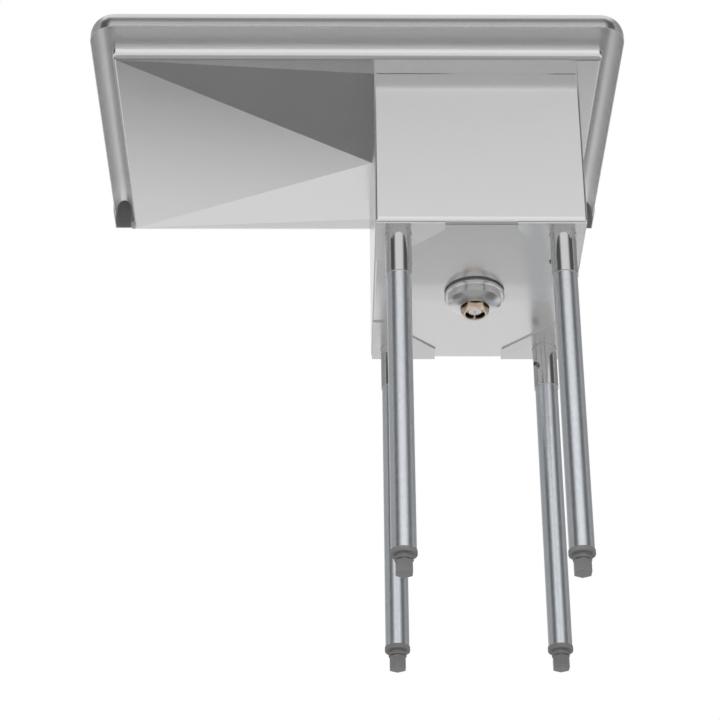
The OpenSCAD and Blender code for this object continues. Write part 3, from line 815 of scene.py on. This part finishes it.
# What matt surfaces get from the horizon, and how much more from straight above
SKY_LEVEL = 0.62
SKY_RISE = 0.12


def ray_is(bench, *kinds):
    """1 for rays of these kinds."""
    path = bench.node("ShaderNodeLightPath")
    total = path[kinds[0]]
    for kind in kinds[1:]:
        total = bench.maths("MAXIMUM", total, path[kind])
    return total


def white_surround():
    """White all round for what the camera and the polished metal see, and a soft sky for matt surfaces."""
    world = bpy.data.worlds.new("white_surround")
    bpy.context.scene.world = world
    world.use_nodes = True
    bench = Bench(world.node_tree)
    seen = ray_is(bench, "Is Camera Ray", "Is Glossy Ray", "Is Transmission Ray")
    direction = bench.node("ShaderNodeTexCoord")["Generated"]
    sky = SKY_LEVEL + SKY_RISE * bench.parts(direction)["Z"]
    light = bench.node("ShaderNodeBackground", {}, {"Color": WHITE, "Strength": seen + (1 - seen) * sky})
    bench.node("ShaderNodeOutputWorld", {}, {"Surface": light})


CARD_STEPS = 24
NEAREST_CARD = 25.0
CARD_GAP = 0.5


def card_patch(name, azimuths, elevations, distance):
    """A part of a sphere round the sink. Azimuth 0 is the front and grows to the right."""
    a0, a1 = (math.radians(a) for a in azimuths)
    e0, e1 = (math.radians(e) for e in elevations)
    points = []
    for i in range(CARD_STEPS + 1):
        e = e0 + (e1 - e0) * i / CARD_STEPS
        for j in range(CARD_STEPS + 1):
            a = a0 + (a1 - a0) * j / CARD_STEPS
            points.append((distance * math.cos(e) * math.sin(a), -distance * math.cos(e) * math.cos(a),
                           distance * math.sin(e)))
    faces = []
    for i in range(CARD_STEPS):
        for j in range(CARD_STEPS):
            corner = i * (CARD_STEPS + 1) + j
            faces.append((corner, corner + 1, corner + CARD_STEPS + 2, corner + CARD_STEPS + 1))
    mesh = bpy.data.meshes.new(name)
    mesh.from_pydata(points, [], faces)
    card = bpy.data.objects.new(name, mesh)
    bpy.context.scene.collection.objects.link(card)
    return card


def studio_card(name, azimuths, elevations, level, edge, low_edge, distance):
    """A card that only polished metal sees, with soft edges; level 1 is as bright as the surround."""
    material, bench = new_bench(name + "_card")
    spot = bench.parts(bench.place())
    middle = math.radians(sum(azimuths) / 2)
    ahead = spot["X"] * math.sin(middle) - spot["Y"] * math.cos(middle)
    aside = spot["X"] * math.cos(middle) + spot["Y"] * math.sin(middle)
    turn = bench.maths("DEGREES", bench.maths("ABSOLUTE", bench.maths("ARCTAN2", aside, ahead)))
    rise = bench.maths("DEGREES", bench.maths("ARCSINE", spot["Z"] / distance))
    half = (azimuths[1] - azimuths[0]) / 2
    mask = bench.fade(turn, half, half - edge) if half < 180 else 1.0
    if elevations[0] > -90:
        mask = mask * bench.fade(rise, elevations[0], elevations[0] + low_edge)
    if elevations[1] < 90:
        mask = mask * bench.fade(rise, elevations[1], elevations[1] - edge)
    glow = bench.node("ShaderNodeEmission", {}, {"Color": WHITE, "Strength": level})
    clear = bench.node("ShaderNodeBsdfTransparent")
    seen = mask * ray_is(bench, "Is Glossy Ray")
    shown = bench.node("ShaderNodeMixShader", {}, {0: seen, 1: clear, 2: glow})
    bench.node("ShaderNodeOutputMaterial", {}, {"Surface": shown})
    card = card_patch(name, azimuths, elevations, distance)
    card.data.materials.append(material)


def studio_cards():
    """The cards as name, azimuths, elevations, level and the softness of the edges and of the low edge.

    Each card stands behind the one before it.
    """
    cards = (("left_flag", (-88, -24), (-25, 66), 0.11, 20.0, 20.0),
             ("right_flag", (28, 92), (-25, 66), 0.12, 20.0, 20.0),
             ("left_grey", (-160, -76), (-25, 66), 0.42, 14.0, 14.0),
             ("right_grey", (80, 160), (-25, 66), 0.36, 14.0, 14.0),
             ("high_front_flag", (-60, 60), (38.5, 66), 0.28, 4.0, 5.0),
             ("front_glow", (-28, 28), (-30, 40), 1.22, 16.0, 14.0),
             ("low_rear_flag", (80, 280), (-68, -29), 0.22, 14.0, 9.0),
             ("under_glow", (-180, 180), (-90, -52), 0.5, 10.0, 10.0))
    distance = NEAREST_CARD
    for name, azimuths, elevations, level, edge, low_edge in cards:
        studio_card(name, azimuths, elevations, level, edge, low_edge, distance)
        distance += CARD_GAP


FLOOR_RADIUS = 3.0
FLOOR_LEVEL = 0.86
FLOOR_SIDES = 96
# Out to this radius the floor doesn't fade
FLOOR_FULL = 0.45 * FLOOR_RADIUS
FLOOR_HEIGHT = -0.5 * MM


def pale_floor():
    """A pale disc that fades into the surround. It shows from above only, and it holds the shadow."""
    material, bench = new_bench("pale_floor")
    radius = bench.vector("LENGTH", bench.place())["Value"]
    front = 1 - bench.node("ShaderNodeNewGeometry")["Backfacing"]
    shown = ray_is(bench, "Is Camera Ray") * front * bench.fade(radius, FLOOR_RADIUS, FLOOR_FULL)
    matt = bench.node("ShaderNodeBsdfDiffuse", {}, {"Color": grey(FLOOR_LEVEL)})
    clear = bench.node("ShaderNodeBsdfTransparent")
    mix = bench.node("ShaderNodeMixShader", {}, {0: shown, 1: clear, 2: matt})
    bench.node("ShaderNodeOutputMaterial", {}, {"Surface": mix})
    rim = round_ring(Vector((0.0, 0.0, 0.0)), FLOOR_RADIUS, FLOOR_HEIGHT, FLOOR_SIDES)
    mesh = bpy.data.meshes.new("pale_floor")
    mesh.from_pydata(rim, [], [tuple(range(FLOOR_SIDES))])
    mesh.materials.append(material)
    floor = bpy.data.objects.new("pale_floor", mesh)
    bpy.context.scene.collection.objects.link(floor)


LAMP_AIM_HEIGHT = 0.6


def soft_lamp(name, spot, size, power):
    """A square lamp that points at the bowl and shows in no reflection."""
    data = bpy.data.lights.new(name, "AREA")
    data.size = size
    data.energy = power
    lamp = bpy.data.objects.new(name, data)
    bpy.context.scene.collection.objects.link(lamp)
    lamp.location = spot
    aim = axis_of("bowl_wrap") + Vector((0.0, 0.0, LAMP_AIM_HEIGHT)) - Vector(spot)
    lamp.rotation_mode = "QUATERNION"
    lamp.rotation_quaternion = aim.to_track_quat("-Z", "Y")
    lamp.visible_glossy = False


def soft_lamps():
    """One lamp over the sink and one in front of it."""
    soft_lamp("overhead_soft_lamp", (-0.6, -0.8, 3.4), 2.2, 42.0)
    soft_lamp("front_soft_lamp", (0.4, -3.2, 1.6), 2.0, 24.0)


# Camera, as the photograph was taken: from below the floor's level, looking up

CAMERA_SPOT = Vector((-50.05, -3468.65, -1501.8)) * MM
CAMERA_YAW = math.radians(0.90)
CAMERA_PITCH = math.radians(30.04)
CAMERA_ROLL = math.radians(-0.43)
CAMERA_LENS = 114.775


def photo_camera():
    """The camera, stood and turned as the photograph's was."""
    data = bpy.data.cameras.new("photo_camera")
    data.sensor_width = 36.0
    data.lens = CAMERA_LENS
    data.clip_end = 100.0
    camera = bpy.data.objects.new("photo_camera", data)
    bpy.context.scene.collection.objects.link(camera)
    level_length = math.cos(CAMERA_PITCH)
    ahead = Vector((math.sin(CAMERA_YAW) * level_length, math.cos(CAMERA_YAW) * level_length,
                    math.sin(CAMERA_PITCH)))
    level = Vector((math.cos(CAMERA_YAW), -math.sin(CAMERA_YAW), 0.0))
    above = level.cross(ahead)
    right = level * math.cos(CAMERA_ROLL) + above * math.sin(CAMERA_ROLL)
    up = above * math.cos(CAMERA_ROLL) - level * math.sin(CAMERA_ROLL)
    turn = Matrix((right, up, -ahead)).transposed().to_4x4()
    camera.matrix_world = Matrix.Translation(CAMERA_SPOT) @ turn
    bpy.context.scene.camera = camera


plastic = dress_nodes()
rim_forms()
leveller_forms()
drain_cone()
bowl_seam()
weld_rings()
foot_threads(plastic)
white_surround()
studio_cards()
pale_floor()
soft_lamps()
photo_camera()
bpy.context.scene.view_settings.view_transform = "Standard"
